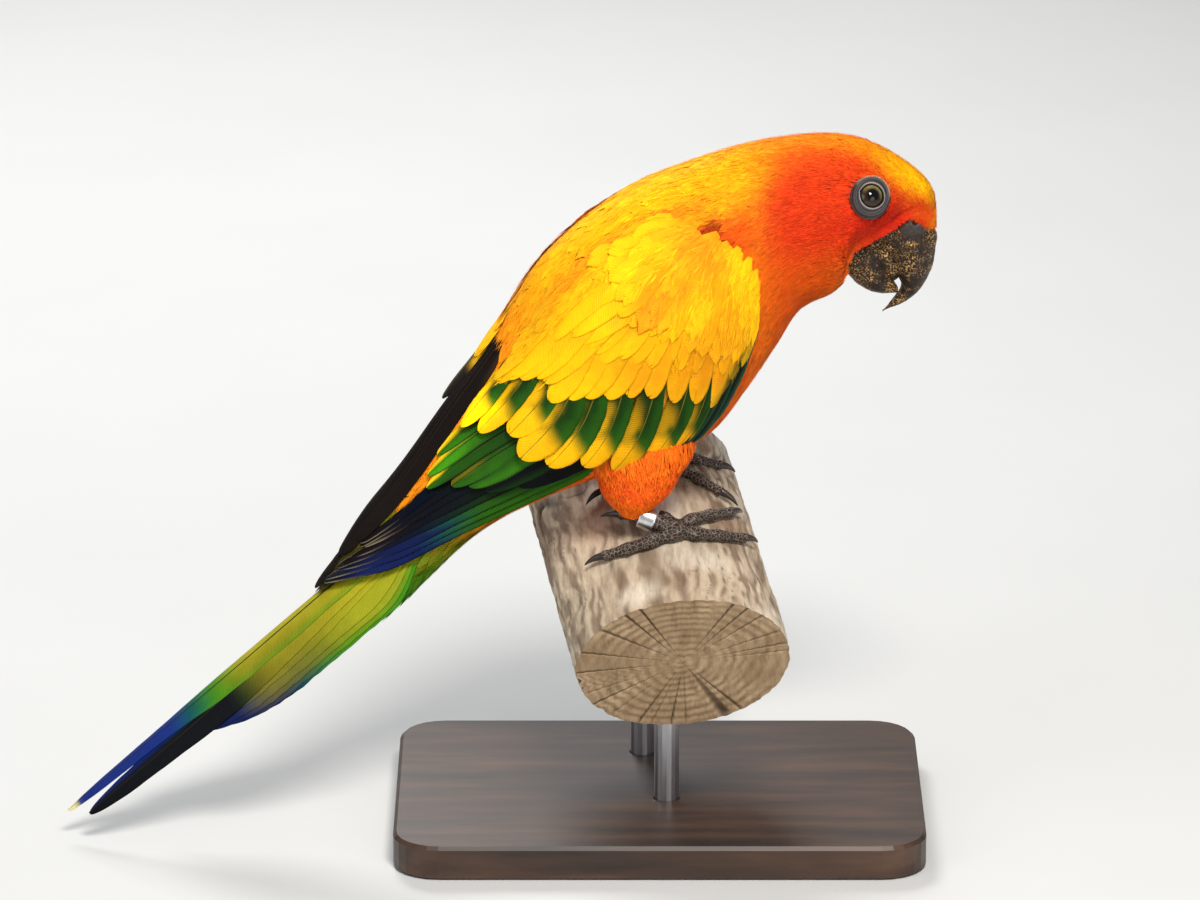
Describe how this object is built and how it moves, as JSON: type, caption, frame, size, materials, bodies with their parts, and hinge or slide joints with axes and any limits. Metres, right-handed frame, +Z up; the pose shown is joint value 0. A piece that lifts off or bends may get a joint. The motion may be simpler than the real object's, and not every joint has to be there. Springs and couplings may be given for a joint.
{
  "type": "sun conure",
  "caption": "Life-size still model of a parrot leaning forward on a short cut length of limb, held by a flat base with two rods.",
  "frame": {"origin": "middle of the underside of the stand's flat base", "axes": "+X the way the bird faces, +Y to its left, +Z up from the base"},
  "size_m": [0.2449, 0.1099, 0.2038],
  "materials": {
    "head_plumage": "soft feathers, red to orange",
    "body_plumage": "soft feathers, yellow to orange",
    "wing_plumage": "wing feathers, yellow, green and blue-black",
    "tail_plumage": "tail feathers, olive to blue",
    "thigh_plumage": "downy feathers, orange-red",
    "bill_horn": "rough dark horn",
    "eye": "wet, dark",
    "foot_skin": "scaly skin",
    "claw_horn": "smooth dark horn",
    "band_metal": "worn, satin",
    "perch_wood": "weathered driftwood",
    "stand_metal": "brushed",
    "stand_wood": "dark stained, satin"
  },
  "bodies": {
    "root": {"head": "head_plumage", "neck": "body_plumage", "torso": "body_plumage", "rump": "body_plumage", "wing_right": "wing_plumage", "wing_left": "wing_plumage", "tail": "tail_plumage", "thigh_right": "thigh_plumage", "thigh_left": "thigh_plumage", "bill_upper": "bill_horn", "bill_lower": "bill_horn", "eye_right": "eye", "eye_left": "eye", "foot_right": "foot_skin", "foot_left": "foot_skin", "leg_band": "band_metal", "perch": "perch_wood", "stand_rod_1": "stand_metal", "stand_rod_2": "stand_metal", "stand_base": "stand_wood", "claw_right_1": "claw_horn", "claw_right_2": "claw_horn", "claw_right_3": "claw_horn", "claw_right_4": "claw_horn", "claw_left_1": "claw_horn", "claw_left_2": "claw_horn", "claw_left_3": "claw_horn", "claw_left_4": "claw_horn"}
  },
  "joints": []
}
